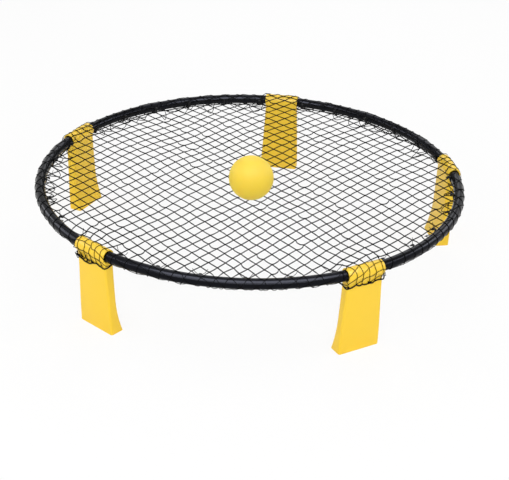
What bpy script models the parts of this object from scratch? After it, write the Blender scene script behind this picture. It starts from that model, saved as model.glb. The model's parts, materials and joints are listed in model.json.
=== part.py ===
"""Roundnet set: a ring of five black tubes on five yellow folding legs.

A knotted net lies over the ring. Its edge goes round the tubes, an elastic
edge cord runs through it and thirty small hooks hold the cord from below.
One inflated ball rests on the net.

Frame: metres, +Z up, origin on the ground under the middle of the ring.
The photograph's viewer looks along +Y, with +X to the right.
A bearing is the angle round the ring from +X, counterclockwise from above.
"""

from math import acos, atan2, ceil, cos, exp, hypot, pi, radians, sin, sqrt, tau

import bmesh
import bpy
from mathutils import Matrix, Vector

# Rim
RIM_DIAMETER = 0.914  # over the tubes
RIM_HEIGHT = 0.1727  # middle of the tubes above the ground
TUBE_DIAMETER = 0.0213
TUBE_WALL = 0.0020
TUBE_COUNT = 5
FIRST_JOINT_BEARING = radians(11.2)  # where the first two tubes meet
SPIGOT_LENGTH = 0.030  # swaged end of a tube, inside the next one
SPIGOT_CLEARANCE = 0.0003
BUTT_GAP = 0.0003  # between a tube's shoulder and the next tube

# Legs: they slide along the rim, and stand where the photograph shows them
LEG_BEARINGS = [radians(a) for a in (9.7, 80.8, 153.9, 229.4, 299.3)]
SLEEVE_LENGTH = 0.0790
SLEEVE_WALL = 0.0025
SLEEVE_CLEARANCE = 0.00045  # straight sleeve to curved tube, where they are closest
PANEL_NECK_WIDTH = 0.0780
PANEL_FOOT_WIDTH = 0.0910
PANEL_OUTER_TOP = 0.0085  # outer face from the sleeve's axis, under the sleeve
PANEL_OUTER_FOOT = 0.0048
PANEL_INSET = 0.0015  # inner face from the sleeve's inner side, down to the flare
FOOT_FLARE = 0.0130  # how far the inner face runs in at the foot
FOOT_FLARE_HEIGHT = 0.075
PANEL_EDGE_RADIUS = 0.0045
PANEL_WALL = 0.0028
CORE_EDGE_RADIUS = 0.0017  # of the hollow inside the panel
SLEEVE_FILLET = 0.010  # height in which the outer face spreads into the sleeve
FILLET_SPREAD = 0.0012  # how far it has spread level with the sleeve's underside

# Net
MESH_DIAGONAL_X = 0.082  # one diamond, from knot to knot
MESH_DIAGONAL_Y = 0.096
STRAND = 0.0022
NET_REACH = 0.0445  # net past the top of the tube, to its edge
NET_CLEARANCE = 0.0014  # net to tube and sleeve, which its flat facets need
NET_SLACK = 0.003  # how far the middle hangs
NET_RISE = 0.090  # how far inside the ring the net starts to rise to a sleeve
BALL_DIP = 0.005  # how far the ball presses the net down
BALL_DIP_SPREAD = 0.060
SHORTEST_STRAND = 0.0117  # shorter ends on the outline are merged
GRAZING_ANGLE = radians(26)  # strands that meet the outline flatter are dropped

# Edge cord and hooks
CORD_DIAMETER = 0.0026
CORD_BEARING_ON_TUBE = radians(200)  # from the tube's top, outwards and round
CORD_CLEARANCE = 0.0004
CORD_UNDER_SLEEVE = 0.0062  # on a leg, below the sleeve's underside
EDGE_MARGIN = 0.002  # past the sleeve's end before the edge turns under the tube
EDGE_TURN = 0.010  # length of that turn
HOOKS_PER_TUBE = 6
HOOK_WIDTH = 0.006
HOOK_THICKNESS = 0.0020
HOOK_CLEARANCE = 0.00035
HOOK_TO_TURN = 0.0015  # outer hooks' sides to where the edge turns at a leg
HOOK_BIGHT_RADIUS = 0.0026  # middle line of the bend that takes a strand
HOOK_BIGHT = radians(190)
HOOK_SPINE_START = radians(220)
HOOK_SPINE_END = radians(283)
HOOK_STEP = radians(32)
HOOK_CRADLE = radians(170)  # how far the hook goes round the edge cord

# Ball
BALL_DIAMETER = 0.092
BALL_WALL = 0.003
BALL_PLACE = (0.003, -0.115)
BALL_GAP = 0.0003
VALVE_DIAMETER = 0.0060
VALVE_CLEARANCE = 0.0003
VALVE_DIRECTION = Vector((0.25, 0.90, -0.35)).normalized()

# Facets
SHARP_ANGLE = radians(35)
TUBE_SIDES = 12
SLEEVE_SIDES = 24
BALL_SIDES = 24
BALL_INSIDE_SIDES = 16
VALVE_SIDES = 12
OUTLINE_SIDES = 72
END_STEP = radians(3.2)  # round a tube's ends, which lie in sleeves
END_PIECES = 3
MIDDLE_STEP = radians(4.8)
BORE_STEP = radians(8.8)
CORNER_PIECES = 2
FLARE_PIECES = 4
STEP_OVER_RIM = 0.0112
STEP_ROUND_RIM = 0.034
STEP_AT_SLEEVE = 0.0052
CORD_TURN_PIECES = 3
HOOK_CRADLE_PIECES = 3
HOOK_BIGHT_PIECES = 3

# Worked out from the sizes above
RING_RADIUS = (RIM_DIAMETER - TUBE_DIAMETER) / 2
TUBE_RADIUS = TUBE_DIAMETER / 2
TUBE_BORE_RADIUS = TUBE_RADIUS - TUBE_WALL
SLEEVE_SAGITTA = RING_RADIUS - sqrt(RING_RADIUS**2 - (SLEEVE_LENGTH / 2) ** 2)
SLEEVE_SHIFT = SLEEVE_SAGITTA / 2  # the sleeve's axis lies this far inside the tube's
SLEEVE_BORE_RADIUS = TUBE_RADIUS + SLEEVE_SHIFT + SLEEVE_CLEARANCE
SLEEVE_RADIUS = SLEEVE_BORE_RADIUS + SLEEVE_WALL
HINGE_RADIUS = RING_RADIUS - SLEEVE_SHIFT
PANEL_INNER = SLEEVE_RADIUS - PANEL_INSET  # from the sleeve's axis
PANEL_TOP = -0.8 * sqrt(SLEEVE_RADIUS**2 - PANEL_INNER**2)  # inside the sleeve's wall
WRAP_ON_TUBE = TUBE_RADIUS + NET_CLEARANCE + STRAND / 2
WRAP_ON_SLEEVE = SLEEVE_RADIUS + NET_CLEARANCE + STRAND / 2
CORD_RADIUS = CORD_DIAMETER / 2
NET_EDGE_RADIUS = RING_RADIUS + NET_REACH

BLACK_TUBE = ("rim_black", (0.018, 0.019, 0.024, 1.0), 0.32)
YELLOW = ("leg_yellow", (0.93, 0.62, 0.035, 1.0), 0.42)
NET_BLACK = ("net_black", (0.012, 0.012, 0.013, 1.0), 0.85)
CORD_BLACK = ("edge_cord_black", (0.015, 0.015, 0.017, 1.0), 0.80)
HOOK_BLACK = ("hook_black", (0.016, 0.016, 0.018, 1.0), 0.45)
BALL_YELLOW = ("ball_yellow", (0.95, 0.70, 0.045, 1.0), 0.50)
VALVE_YELLOW = ("valve_rubber", (0.80, 0.52, 0.05, 1.0), 0.70)


# Helpers


def clear_scene():
    for item in list(bpy.data.objects):
        bpy.data.objects.remove(item, do_unlink=True)


def new_collection(name):
    collection = bpy.data.collections.new(name)
    bpy.context.scene.collection.children.link(collection)
    return collection


def material(kind):
    name, colour, roughness = kind
    found = bpy.data.materials.get(name)
    if found:
        return found
    made = bpy.data.materials.new(name)
    made.use_nodes = True
    shader = made.node_tree.nodes["Principled BSDF"]
    shader.inputs["Base Color"].default_value = colour
    shader.inputs["Roughness"].default_value = roughness
    shader.inputs["Metallic"].default_value = 0.0
    made.diffuse_color = colour
    return made


def mesh_from(bm, name):
    """The bmesh as a mesh, facing out, smooth with its corners sharp."""
    bmesh.ops.recalc_face_normals(bm, faces=bm.faces)
    mesh = bpy.data.meshes.new(name)
    bm.to_mesh(mesh)
    bm.free()
    mesh.shade_smooth()
    mesh.set_sharp_from_angle(angle=SHARP_ANGLE)
    return mesh


def add_object(name, mesh, collection, location=(0, 0, 0), turn=0.0):
    item = bpy.data.objects.new(name, mesh)
    item.location = location
    item.rotation_euler = (0, 0, turn)
    collection.objects.link(item)
    return item


def add_cutter(name, mesh):
    item = add_object(name, mesh, cutters)
    item.hide_render = True
    item.display_type = "WIRE"
    return item


def boolean(item, operation, other):
    modifier = item.modifiers.new(operation.lower() + "_" + other.name, "BOOLEAN")
    modifier.operation = operation
    modifier.solver = "EXACT"
    modifier.object = other


def baked_mesh(item, name):
    """The item's mesh with its modifiers done, smooth with its corners sharp, free of the item."""
    bpy.context.view_layer.update()
    graph = bpy.context.evaluated_depsgraph_get()
    mesh = bpy.data.meshes.new_from_object(item.evaluated_get(graph))
    mesh.name = name
    mesh.shade_smooth()
    mesh.set_sharp_from_angle(angle=SHARP_ANGLE)
    bpy.data.objects.remove(item, do_unlink=True)
    return mesh


def give(mesh, kind):
    mesh.materials.clear()
    mesh.materials.append(material(kind))


def bridge(bm, first, second):
    for here in range(len(first)):
        following = (here + 1) % len(first)
        bm.faces.new((first[here], first[following], second[following], second[here]))


def even_steps(start, stop, step):
    """Values from start to stop, in equal steps of about the given one."""
    count = max(1, ceil(abs(stop - start) / step - 1e-6))
    return [start + (stop - start) * k / count for k in range(count + 1)]


def ease(share):
    share = min(max(share, 0.0), 1.0)
    return share * share * (3 - 2 * share)


def mix(first, second, share):
    return first + (second - first) * share


# Rim tubes: hollow, bent to the ring, with one end swaged to fit the next tube


def tube_mesh():
    bm = bmesh.new()
    half_gap = BUTT_GAP / 2 / RING_RADIUS
    start, stop = half_gap, tau / TUBE_COUNT - half_gap
    spigot = SPIGOT_LENGTH / RING_RADIUS
    under_sleeve = END_PIECES * END_STEP

    def along_tube(middle_step):
        bearings = even_steps(start, start + under_sleeve, END_STEP)
        bearings += even_steps(start + under_sleeve, stop - under_sleeve, middle_step)[1:]
        return bearings + even_steps(stop - under_sleeve, stop, END_STEP)[1:]

    spigot_radius = TUBE_BORE_RADIUS - SPIGOT_CLEARANCE
    spigot_bore = spigot_radius - TUBE_WALL
    outside = [(bearing, TUBE_RADIUS) for bearing in along_tube(MIDDLE_STEP)]
    outside += [(stop, spigot_radius), (stop + spigot / 2, spigot_radius), (stop + spigot, spigot_radius)]
    inside = [(stop + spigot, spigot_bore), (stop + spigot / 2, spigot_bore), (stop, spigot_bore)]
    inside += [(bearing, TUBE_BORE_RADIUS) for bearing in reversed(along_tube(BORE_STEP)[:-1])]
    rings = []
    for bearing, radius in outside + inside:
        place = Matrix.Rotation(bearing, 4, "Z") @ Matrix.Translation((RING_RADIUS, 0, 0))
        circle = bmesh.ops.create_circle(
            bm,
            segments=TUBE_SIDES,
            radius=radius,
            matrix=place @ Matrix.Rotation(pi / 2, 4, "X"),
        )
        rings.append(circle["verts"])
    for here, ring in enumerate(rings):
        bridge(bm, ring, rings[(here + 1) % len(rings)])
    return mesh_from(bm, "rim_tube")


def build_rim():
    mesh = tube_mesh()
    give(mesh, BLACK_TUBE)
    for k in range(TUBE_COUNT):
        turn = FIRST_JOINT_BEARING + tau * k / TUBE_COUNT
        add_object(f"rim_tube_{k + 1}", mesh, part, (0, 0, RIM_HEIGHT), turn)


# Legs: x runs outwards from the sleeve's axis, y along it, z up from it


def outer_face(z):
    """The panel's outer face at this height, spreading into the sleeve on top."""
    down = min(max((-z - SLEEVE_RADIUS) / (RIM_HEIGHT - SLEEVE_RADIUS), 0.0), 1.0)
    spread = max(0.0, 1 + (z + SLEEVE_RADIUS) / SLEEVE_FILLET) ** 2
    return mix(PANEL_OUTER_TOP, PANEL_OUTER_FOOT, down) + FILLET_SPREAD * spread


def inner_face(z):
    """The panel's inner face: upright, with an arc running in at the foot."""
    above_foot = max(RIM_HEIGHT + z, 0.0)
    radius = (FOOT_FLARE_HEIGHT**2 + FOOT_FLARE**2) / (2 * FOOT_FLARE)
    rise = FOOT_FLARE_HEIGHT - min(above_foot, FOOT_FLARE_HEIGHT)
    return -PANEL_INNER - radius + sqrt(radius**2 - rise**2)


def panel_width(z):
    return mix(PANEL_NECK_WIDTH, PANEL_FOOT_WIDTH, ease(-z / RIM_HEIGHT))


def panel_section(bm, z, inset):
    """A rounded rectangle across the panel, inset by a wall."""
    outer, inner = outer_face(z) - inset, inner_face(z) + inset
    half = panel_width(z) / 2 - inset
    radius = CORE_EDGE_RADIUS if inset else PANEL_EDGE_RADIUS
    corners = [(outer, half, 0), (inner, half, 1), (inner, -half, 2), (outer, -half, 3)]
    verts = []
    for x, y, quarter in corners:
        middle_x = x - radius if x == outer else x + radius
        middle_y = y - radius if y > 0 else y + radius
        for step in range(CORNER_PIECES + 1):
            angle = (quarter + step / CORNER_PIECES) * pi / 2
            verts.append(bm.verts.new((middle_x + radius * cos(angle), middle_y + radius * sin(angle), z)))
    return verts


def panel_mesh(name, heights, inset):
    bm = bmesh.new()
    sections = [panel_section(bm, z, inset) for z in heights]
    for lower, upper in zip(sections, sections[1:]):
        bridge(bm, lower, upper)
    bm.faces.new(sections[0])
    bm.faces.new(sections[-1])
    return mesh_from(bm, name)


def cylinder_mesh(name, radius, length, sides, axis=Vector((0, 1, 0)), middle=Vector((0, 0, 0))):
    bm = bmesh.new()
    turn = axis.to_track_quat("Z", "Y").to_matrix().to_4x4()
    bmesh.ops.create_cone(
        bm,
        cap_ends=True,
        segments=sides,
        radius1=radius,
        radius2=radius,
        depth=length,
        matrix=Matrix.Translation(middle) @ turn,
    )
    return mesh_from(bm, name)


def leg_mesh():
    foot = -RIM_HEIGHT
    flare_top = foot + FOOT_FLARE_HEIGHT
    under_sleeve = -SLEEVE_RADIUS
    flare = even_steps(foot, flare_top, FOOT_FLARE_HEIGHT / FLARE_PIECES)
    neck = [mix(flare_top, under_sleeve - SLEEVE_FILLET, 0.5), under_sleeve - SLEEVE_FILLET]
    fillet = [under_sleeve - SLEEVE_FILLET / 2, mix(under_sleeve, PANEL_TOP, 0.4), PANEL_TOP]
    leg = add_object("leg_blank", panel_mesh("leg_panel", flare + neck + fillet, 0.0), cutters)
    sleeve = add_cutter("sleeve_outside", cylinder_mesh("sleeve", SLEEVE_RADIUS, SLEEVE_LENGTH, SLEEVE_SIDES))
    bore_length = SLEEVE_LENGTH + 2 * SLEEVE_WALL
    bore = add_cutter("sleeve_bore", cylinder_mesh("bore", SLEEVE_BORE_RADIUS, bore_length, SLEEVE_SIDES))
    core_top = under_sleeve - PANEL_WALL
    core_heights = [foot - PANEL_WALL, foot, flare[2], flare_top, core_top]
    core = add_cutter("leg_core", panel_mesh("core", core_heights, PANEL_WALL))
    boolean(leg, "UNION", sleeve)
    boolean(leg, "DIFFERENCE", bore)
    boolean(leg, "DIFFERENCE", core)
    return baked_mesh(leg, "leg")


def build_legs():
    mesh = leg_mesh()
    give(mesh, YELLOW)
    for k, bearing in enumerate(LEG_BEARINGS):
        hinge = (HINGE_RADIUS * cos(bearing), HINGE_RADIUS * sin(bearing), RIM_HEIGHT)
        add_object(f"leg_{k + 1}", mesh, part, hinge, bearing)


# The surface that the net lies on


def from_leg(bearing):
    """The angle from the nearest leg's bearing."""
    return min(abs((bearing - leg + pi) % tau - pi) for leg in LEG_BEARINGS)


def along_from_leg(bearing):
    """Distance along the rim to the middle of the nearest leg."""
    return RING_RADIUS * from_leg(bearing)


def beside_leg(bearing, x):
    """Distance from the ring's middle to a straight line x outside the sleeve's axis."""
    return (HINGE_RADIUS + x) / cos(from_leg(bearing))


def leg_share(bearing):
    """1 where the net's edge passes a leg, 0 where it goes round a bare tube."""
    past = along_from_leg(bearing) - SLEEVE_LENGTH / 2 - EDGE_MARGIN
    return 1 - ease(past / EDGE_TURN)


def dip_at(x, y):
    """How far slack and the ball lower the net here."""
    slack = NET_SLACK * (1 - min(hypot(x, y) / RING_RADIUS, 1.0) ** 2)
    ball = hypot(x - BALL_PLACE[0], y - BALL_PLACE[1])
    return slack + BALL_DIP * exp(-ball / BALL_DIP_SPREAD)


def cord_at_leg():
    """The edge cord's place on a leg's outer face, outwards and up from the sleeve's axis."""
    z = -SLEEVE_RADIUS - CORD_UNDER_SLEEVE
    return outer_face(z) + CORD_CLEARANCE + CORD_RADIUS, z


def wrap_on_tube(past):
    """Place and normal, outwards and up from the tube, this far past its top."""
    turn = past / WRAP_ON_TUBE
    normal = (sin(turn), cos(turn))
    return (WRAP_ON_TUBE * normal[0], WRAP_ON_TUBE * normal[1]), normal


def wrap_on_leg(past):
    """The same from a sleeve's axis: round it, then straight to the edge cord."""
    edge_x, edge_z = cord_at_leg()
    edge_z += CORD_RADIUS + CORD_CLEARANCE + STRAND / 2
    away = hypot(edge_x, edge_z)
    leave = atan2(edge_x, edge_z) - acos(WRAP_ON_SLEEVE / away)
    straight = sqrt(away**2 - WRAP_ON_SLEEVE**2)
    along = past / NET_REACH * (WRAP_ON_SLEEVE * leave + straight)
    turn = min(along / WRAP_ON_SLEEVE, leave)
    normal = (sin(turn), cos(turn))
    beyond = along - WRAP_ON_SLEEVE * turn
    x = WRAP_ON_SLEEVE * normal[0] + beyond * normal[1]
    return (x, WRAP_ON_SLEEVE * normal[1] - beyond * normal[0]), normal


def drape(point):
    """A point of the flat net, with its height over the net, laid over the ring."""
    x, y, lift = point
    spread, bearing = hypot(x, y), atan2(y, x)
    share = leg_share(bearing)
    if spread <= RING_RADIUS:
        near_rim = ease(1 - (RING_RADIUS - spread) / NET_RISE)
        height = mix(WRAP_ON_TUBE, WRAP_ON_SLEEVE, share * near_rim) - dip_at(x, y)
        reach = mix(spread, beside_leg(bearing, spread - RING_RADIUS), share * near_rim)
        return reach * cos(bearing), reach * sin(bearing), RIM_HEIGHT + height + lift
    (tube_x, tube_z), tube_normal = wrap_on_tube(spread - RING_RADIUS)
    (leg_x, leg_z), leg_normal = wrap_on_leg(spread - RING_RADIUS)
    normal = (mix(tube_normal[0], leg_normal[0], share), mix(tube_normal[1], leg_normal[1], share))
    size = hypot(*normal)
    reach = RING_RADIUS + tube_x
    if share:
        reach = mix(reach, beside_leg(bearing, leg_x), share)
    reach += lift * normal[0] / size
    height = mix(tube_z, leg_z, share) + lift * normal[1] / size
    return reach * cos(bearing), reach * sin(bearing), RIM_HEIGHT + height


# Net: a flat lattice of diamonds, cut round, given thickness, then laid over the ring


def flat_lattice():
    """Diamonds with a knot under the ball, cut to the net's round outline."""
    bm = bmesh.new()
    cells = ceil(2 * (NET_EDGE_RADIUS + hypot(*BALL_PLACE)) / MESH_DIAGONAL_X) + 2
    bmesh.ops.create_grid(bm, x_segments=2 * cells, y_segments=2 * cells, size=cells)
    half_x, half_y = MESH_DIAGONAL_X / 2, MESH_DIAGONAL_Y / 2
    for vert in bm.verts:
        a, b, _ = vert.co
        vert.co = (BALL_PLACE[0] + (a - b) * half_x, BALL_PLACE[1] + (a + b) * half_y, 0)
    for k in range(OUTLINE_SIDES):
        outwards = Vector((cos(tau * k / OUTLINE_SIDES), sin(tau * k / OUTLINE_SIDES), 0))
        bmesh.ops.bisect_plane(
            bm,
            geom=bm.verts[:] + bm.edges[:] + bm.faces[:],
            plane_co=outwards * NET_EDGE_RADIUS,
            plane_no=outwards,
            clear_outer=True,
        )
    return bm


def strand_ends(bm):
    return [v for v in bm.verts if v.is_boundary and len(v.link_edges) > 2]


def tidy_edge(bm):
    """Leave only the strands' ends on the outline, and drop strands that graze it."""
    corners = [v for v in bm.verts if v.is_boundary and len(v.link_edges) == 2]
    bmesh.ops.dissolve_verts(bm, verts=corners)
    bmesh.ops.remove_doubles(bm, verts=bm.verts, dist=SHORTEST_STRAND)
    grazing = []
    for vert in strand_ends(bm):
        outwards = vert.co.normalized()
        for edge in vert.link_edges:
            if not edge.is_boundary:
                strand = (edge.other_vert(vert).co - vert.co).normalized()
                if abs(strand.dot(outwards)) < sin(GRAZING_ANGLE):
                    grazing.append(edge)
    bmesh.ops.dissolve_edges(bm, edges=grazing, use_verts=False)
    corners = [v for v in bm.verts if v.is_boundary and len(v.link_edges) == 2]
    bmesh.ops.dissolve_verts(bm, verts=corners)
    loose = [v for v in bm.verts if not v.is_boundary and len(v.link_edges) == 2]
    bmesh.ops.dissolve_verts(bm, verts=loose)
    for vert in bm.verts:
        if vert.is_boundary:
            vert.co = vert.co.normalized() * NET_EDGE_RADIUS


def split_on_top(bm):
    """Give each strand that runs out over the rim a corner on top of the tube."""
    for edge in list(bm.edges):
        inner, outer = sorted(edge.verts, key=lambda v: v.co.length)
        if inner.co.length < RING_RADIUS < outer.co.length:
            along = (outer.co - inner.co).normalized()
            inwards = -inner.co.dot(along)
            reach = inwards + sqrt(inwards**2 + RING_RADIUS**2 - inner.co.length_squared)
            bmesh.utils.edge_split(edge, inner, reach / (outer.co - inner.co).length)


def pieces_needed(edge):
    """How many straight pieces this strand needs to follow the rim."""
    first, second = (v.co for v in edge.verts)
    if max(first.length, second.length) < RING_RADIUS - TUBE_RADIUS:
        return 1
    turn = first.angle(second) * RING_RADIUS
    count = 1
    if max(first.length, second.length) > RING_RADIUS + STRAND:
        across = abs(second.length - first.length)
        count = max(across / STEP_OVER_RIM, turn / STEP_ROUND_RIM)
    middles = [along_from_leg(atan2(*first.lerp(second, k / 4).yx)) for k in range(5)]
    corner = SLEEVE_LENGTH / 2 + EDGE_MARGIN + EDGE_TURN / 2
    if min(abs(m - corner) for m in middles) < EDGE_TURN:
        count = max(count, turn / STEP_AT_SLEEVE)
    return max(1, ceil(count))


def split_for_bend(bm):
    for edge in list(bm.edges):
        first, second = edge.verts
        count = pieces_needed(edge)
        on_outline = edge.is_boundary
        start = first
        for left in range(count, 1, -1):
            edge, start = bmesh.utils.edge_split(edge, start, 1 / left)
            edge = next(e for e in start.link_edges if second in e.verts)
            if on_outline:
                start.co = start.co.normalized() * NET_EDGE_RADIUS


def build_net():
    bm = flat_lattice()
    tidy_edge(bm)
    split_on_top(bm)
    split_for_bend(bm)
    flat = add_object("net_flat", mesh_from(bm, "net_flat"), cutters)
    wires = flat.modifiers.new("strands", "WIREFRAME")
    wires.thickness = STRAND
    wires.offset = 0.0
    wires.use_boundary = True
    wires.use_even_offset = False
    wires.use_replace = True
    mesh = baked_mesh(flat, "net")
    for vert in mesh.vertices:
        vert.co = drape(vert.co)
    mesh.update()
    give(mesh, NET_BLACK)
    add_object("net", mesh, part)


# Edge cord and hooks


def hook_bearings():
    """Six hooks on each stretch between two legs, the outer two beside the sleeves."""
    clear_of_leg = SLEEVE_LENGTH / 2 + EDGE_MARGIN + EDGE_TURN + HOOK_TO_TURN + HOOK_WIDTH / 2
    aside = clear_of_leg / RING_RADIUS
    found = []
    for leg, following in zip(LEG_BEARINGS, LEG_BEARINGS[1:] + LEG_BEARINGS[:1]):
        start, stop = leg + aside, leg + (following - leg) % tau - aside
        found += [mix(start, stop, k / (HOOKS_PER_TUBE - 1)) for k in range(HOOKS_PER_TUBE)]
    return found


def cord_on_tube():
    distance = WRAP_ON_TUBE + STRAND / 2 + CORD_CLEARANCE + CORD_RADIUS
    return distance * sin(CORD_BEARING_ON_TUBE), distance * cos(CORD_BEARING_ON_TUBE)


def cord_point(bearing):
    share = leg_share(bearing)
    tube_x, tube_z = cord_on_tube()
    leg_x, leg_z = cord_at_leg()
    reach = RING_RADIUS + tube_x
    if share:
        reach = mix(reach, beside_leg(bearing, leg_x), share)
    return Vector((reach * cos(bearing), reach * sin(bearing), RIM_HEIGHT + mix(tube_z, leg_z, share)))


def cord_bearings():
    """Points at the hooks and half way between them, and close ones round each leg."""
    hooks = hook_bearings()
    bearings = list(hooks)
    for here, following in zip(hooks, hooks[1:] + hooks[:1]):
        gap = (following - here) % tau
        if along_from_leg(here + gap / 2) > SLEEVE_LENGTH:
            bearings.append(here + gap / 2)
    turn_start = SLEEVE_LENGTH / 2 + EDGE_MARGIN
    for leg in LEG_BEARINGS:
        bearings.append(leg)
        for k in range(CORD_TURN_PIECES + 1):
            aside = (turn_start + EDGE_TURN * k / CORD_TURN_PIECES) / RING_RADIUS
            bearings += [leg - aside, leg + aside]
    return sorted(b % tau for b in bearings)


def build_edge_cord():
    curve = bpy.data.curves.new("edge_cord", "CURVE")
    curve.dimensions = "3D"
    curve.bevel_depth = CORD_RADIUS
    curve.bevel_resolution = 2
    points = [cord_point(bearing) for bearing in cord_bearings()]
    spline = curve.splines.new("POLY")
    spline.points.add(len(points) - 1)
    for slot, point in zip(spline.points, points):
        slot.co = (*point, 1.0)
    spline.use_cyclic_u = True
    curve.materials.append(material(CORD_BLACK))
    add_object("edge_cord", curve, part)


def hook_line():
    """The hook's middle line, outwards and up from the tube: cradle, spine and bight."""
    cord_x, cord_z = cord_on_tube()
    half_piece = HOOK_CRADLE / HOOK_CRADLE_PIECES / 2
    cradle = (CORD_RADIUS + HOOK_CLEARANCE + HOOK_THICKNESS / 2) / cos(half_piece)
    away = atan2(cord_z, cord_x)  # from the tube to the cord
    line = []
    for k in range(HOOK_CRADLE_PIECES + 1):
        angle = away + HOOK_CRADLE * (0.5 - k / HOOK_CRADLE_PIECES)
        line.append((cord_x + cradle * cos(angle), cord_z + cradle * sin(angle)))
    spine = (TUBE_RADIUS + HOOK_CLEARANCE + HOOK_THICKNESS / 2) / cos(HOOK_STEP / 2)
    for turn in even_steps(HOOK_SPINE_START, HOOK_SPINE_END, HOOK_STEP):
        line.append((spine * sin(turn), spine * cos(turn)))
    bight = spine + HOOK_BIGHT_RADIUS
    middle = (bight * sin(HOOK_SPINE_END), bight * cos(HOOK_SPINE_END))
    back = atan2(-middle[1], -middle[0])
    for k in range(1, HOOK_BIGHT_PIECES + 1):
        angle = back + HOOK_BIGHT * k / HOOK_BIGHT_PIECES
        line.append((middle[0] + HOOK_BIGHT_RADIUS * cos(angle), middle[1] + HOOK_BIGHT_RADIUS * sin(angle)))
    return line


def hook_mesh():
    """The line given its thickness on both sides, then its width along the rim."""
    line = hook_line()
    left, right = [], []
    for here, (x, z) in enumerate(line):
        before, after = line[max(here - 1, 0)], line[min(here + 1, len(line) - 1)]
        along = Vector((after[0] - before[0], after[1] - before[1])).normalized()
        left.append((x - along.y * HOOK_THICKNESS / 2, z + along.x * HOOK_THICKNESS / 2))
        right.append((x + along.y * HOOK_THICKNESS / 2, z - along.x * HOOK_THICKNESS / 2))
    bm = bmesh.new()
    rims = []
    for y in (-HOOK_WIDTH / 2, HOOK_WIDTH / 2):
        rims.append([bm.verts.new((x, y, z)) for x, z in left + right[::-1]])
    bridge(bm, rims[0], rims[1])
    for rim in rims:
        bm.faces.new(rim)
    return mesh_from(bm, "net_hook")


def build_hooks():
    mesh = hook_mesh()
    give(mesh, HOOK_BLACK)
    for k, bearing in enumerate(hook_bearings()):
        place = (RING_RADIUS * cos(bearing), RING_RADIUS * sin(bearing), RIM_HEIGHT)
        add_object(f"net_hook_{k + 1:02d}", mesh, part, place, bearing)


# Ball and its valve plug


def sphere_mesh(name, radius, sides):
    bm = bmesh.new()
    bmesh.ops.create_uvsphere(bm, u_segments=sides, v_segments=sides // 2 + 2, radius=radius)
    return mesh_from(bm, name)


def build_ball():
    radius = BALL_DIAMETER / 2
    net_top = drape((*BALL_PLACE, STRAND / 2))[2]
    middle = Vector((*BALL_PLACE, net_top + BALL_GAP + radius))
    ball = add_object("ball", sphere_mesh("ball", radius, BALL_SIDES), part)
    inside_mesh = sphere_mesh("ball_inside", radius - BALL_WALL, BALL_INSIDE_SIDES)
    inside = add_cutter("ball_inside", inside_mesh)
    mouth = VALVE_DIRECTION * radius
    hole = cylinder_mesh(
        "valve_hole", VALVE_DIAMETER / 2, 4 * BALL_WALL, VALVE_SIDES, VALVE_DIRECTION, mouth
    )
    boolean(ball, "DIFFERENCE", inside)
    boolean(ball, "DIFFERENCE", add_cutter("valve_hole", hole))
    mesh = baked_mesh(ball, "ball")
    give(mesh, BALL_YELLOW)
    add_object("ball", mesh, part, middle)
    plug_radius = VALVE_DIAMETER / 2 - VALVE_CLEARANCE
    seat = VALVE_DIRECTION * (radius - BALL_WALL / 2 - VALVE_CLEARANCE)
    plug = cylinder_mesh("ball_valve", plug_radius, BALL_WALL, VALVE_SIDES, VALVE_DIRECTION, seat)
    give(plug, VALVE_YELLOW)
    add_object("ball_valve", plug, part, middle)


clear_scene()
part = new_collection("roundnet_set")
cutters = new_collection("cutters")
build_rim()
build_legs()
build_net()
build_edge_cord()
build_hooks()
build_ball()
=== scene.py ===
"""Roundnet set: five black rim tubes, five yellow legs, a knotted net with its hooks and cord, and a ball.

Metres, +Z up. A bearing is the angle round the ring from +X, counterclockwise from above.
"""

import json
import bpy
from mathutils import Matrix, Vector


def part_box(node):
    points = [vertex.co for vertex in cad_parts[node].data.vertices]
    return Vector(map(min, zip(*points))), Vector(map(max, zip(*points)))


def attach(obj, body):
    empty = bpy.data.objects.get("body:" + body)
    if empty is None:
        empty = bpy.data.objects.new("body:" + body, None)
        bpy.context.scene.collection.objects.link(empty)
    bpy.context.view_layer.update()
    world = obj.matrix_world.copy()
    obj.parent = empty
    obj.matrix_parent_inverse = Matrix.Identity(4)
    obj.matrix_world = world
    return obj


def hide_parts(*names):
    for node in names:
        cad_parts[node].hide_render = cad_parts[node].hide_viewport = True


bl_info = {
    "name": "Roundnet Set",
    "version": (1, 0, 0),
    "blender": (4, 5, 0),
    "location": "View3D > Sidebar > Roundnet",
    "description": "Builds a roundnet set: rim, folding legs, knotted net, edge cord, hooks and ball",
    "category": "Add Mesh",
}

from bisect import bisect
from math import acos, atan2, ceil, cos, exp, hypot, pi, radians, sin, sqrt, tau
from random import Random

import bmesh
import bpy
from bpy.props import FloatProperty, FloatVectorProperty, IntProperty, PointerProperty
from mathutils import Matrix, Vector, noise

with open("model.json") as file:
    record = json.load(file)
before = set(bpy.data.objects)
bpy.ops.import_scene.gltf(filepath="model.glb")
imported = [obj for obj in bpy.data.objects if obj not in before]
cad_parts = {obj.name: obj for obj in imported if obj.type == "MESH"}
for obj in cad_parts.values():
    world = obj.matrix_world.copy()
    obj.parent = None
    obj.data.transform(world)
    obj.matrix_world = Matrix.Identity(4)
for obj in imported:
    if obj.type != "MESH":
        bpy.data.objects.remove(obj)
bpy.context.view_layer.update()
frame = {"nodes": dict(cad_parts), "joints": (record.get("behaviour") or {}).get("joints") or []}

RIM = "rim"
TUBES = sorted(name for name in frame["nodes"] if name.startswith("rim_tube_"))
LEGS = sorted(name for name in frame["nodes"] if name.startswith("leg_"))
HOOKS = sorted(name for name in frame["nodes"] if name.startswith("net_hook_"))
HINGES = {j["child"]: Vector(j["pos_m"]) for j in frame["joints"] if j["type"] == "hinge"}
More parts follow.
